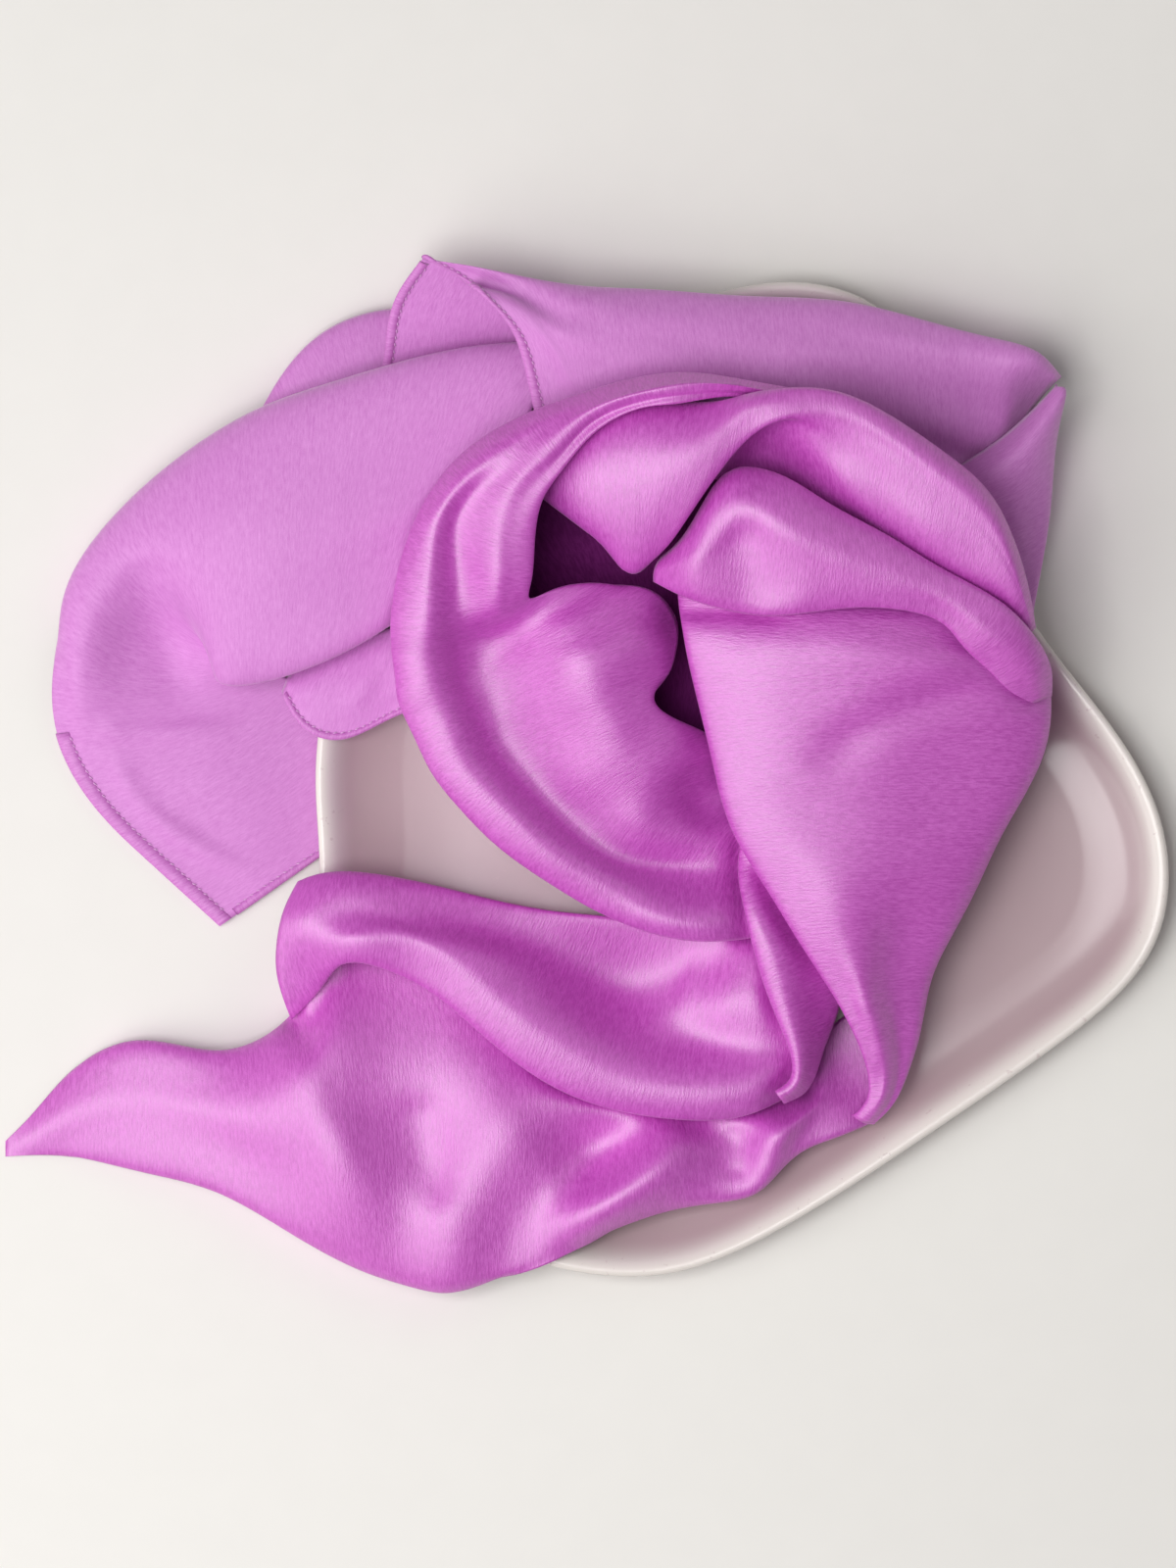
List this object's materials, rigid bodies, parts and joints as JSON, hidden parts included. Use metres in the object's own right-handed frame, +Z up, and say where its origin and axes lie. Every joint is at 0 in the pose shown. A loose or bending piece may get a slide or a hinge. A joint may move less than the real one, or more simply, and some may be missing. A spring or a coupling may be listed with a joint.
{
  "type": "silk square scarf on a glazed dish",
  "caption": "Silk square scarf twisted into an open rose, dropped half on a shallow rounded-triangle glazed dish, with its hemmed corner and hem on the table.",
  "frame": {"origin": "middle of the whole object in plan, on the table", "axes": "+Z up; +X to the right and +Y away from the viewer, with the open rose in the middle, the dish's blunt point to the right and the hemmed corner to the left"},
  "size_m": [0.4146, 0.3685, 0.08],
  "materials": {
    "orchid_silk": "satin",
    "orchid_silk_reverse": "matte",
    "glazed_dish": "gloss"
  },
  "bodies": {
    "root": {"petal_upper": "orchid_silk", "petal_low": "orchid_silk", "panel_right": "orchid_silk", "strip_mid": "orchid_silk", "petal_outer": "orchid_silk", "roll_lower": "orchid_silk", "drape_low": "orchid_silk", "core": "orchid_silk", "panel_side": "orchid_silk_reverse", "band_back": "orchid_silk_reverse", "drape_left": "orchid_silk_reverse", "arch_inner": "orchid_silk_reverse", "fold_back": "orchid_silk_reverse", "flap_hem": "orchid_silk_reverse", "hem_corner": "orchid_silk_reverse", "hem_end": "orchid_silk_reverse", "hem_arch": "orchid_silk_reverse", "hem_arch_left": "orchid_silk_reverse", "hem_flap": "orchid_silk_reverse", "dish": "glazed_dish"}
  },
  "joints": []
}
